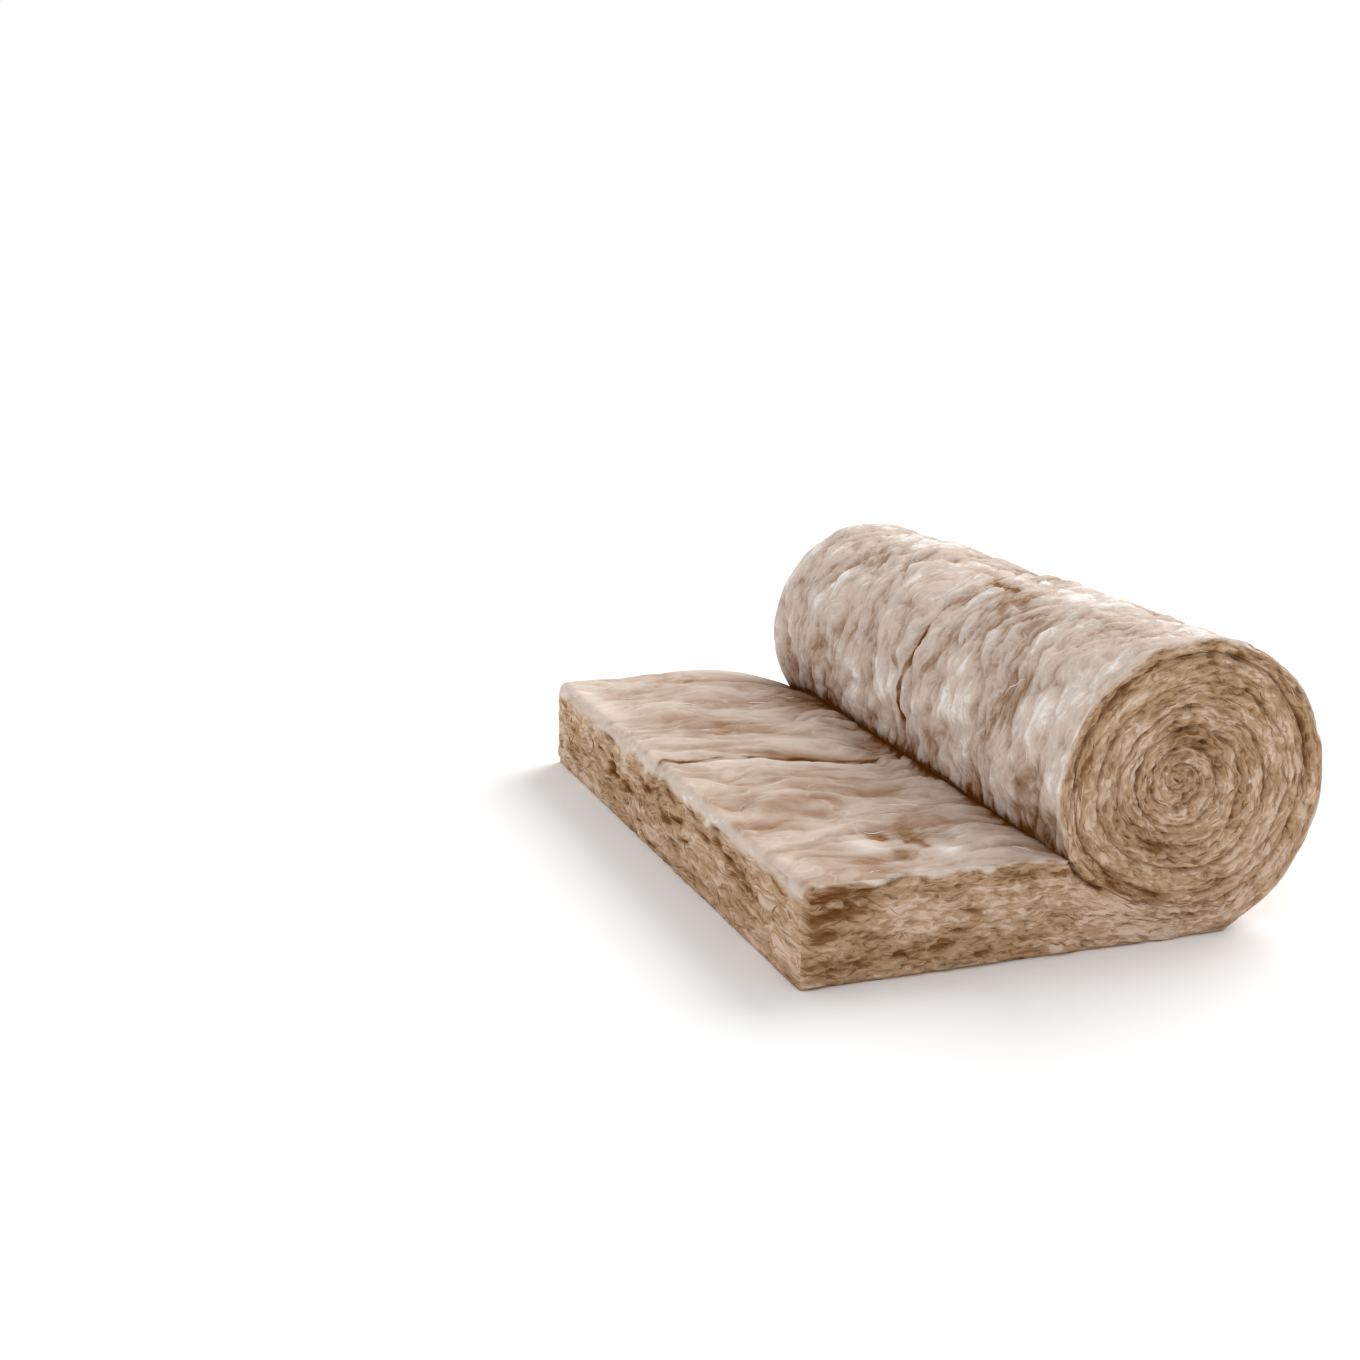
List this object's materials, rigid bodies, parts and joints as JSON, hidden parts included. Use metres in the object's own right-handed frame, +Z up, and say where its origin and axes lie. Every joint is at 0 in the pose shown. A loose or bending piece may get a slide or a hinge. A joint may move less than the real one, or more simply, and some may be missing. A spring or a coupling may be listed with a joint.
{
  "type": "partly unrolled insulation roll",
  "caption": "Glass mineral wool insulation blanket wound on itself into a roll, with its cut free end let out flat along the floor.",
  "frame": {"origin": "middle of the footprint's box, on the floor", "axes": "+Z up; +Y along the roll's axis and the blanket's width; +X from the cut free end to the roll"},
  "size_m": [0.82, 1.14, 0.4435],
  "materials": {
    "wool": "matt brown glass wool, fibrous, paler on the weathered outer faces than on the cut edges"
  },
  "bodies": {
    "root": {"wool_blanket": "wool"}
  },
  "joints": []
}
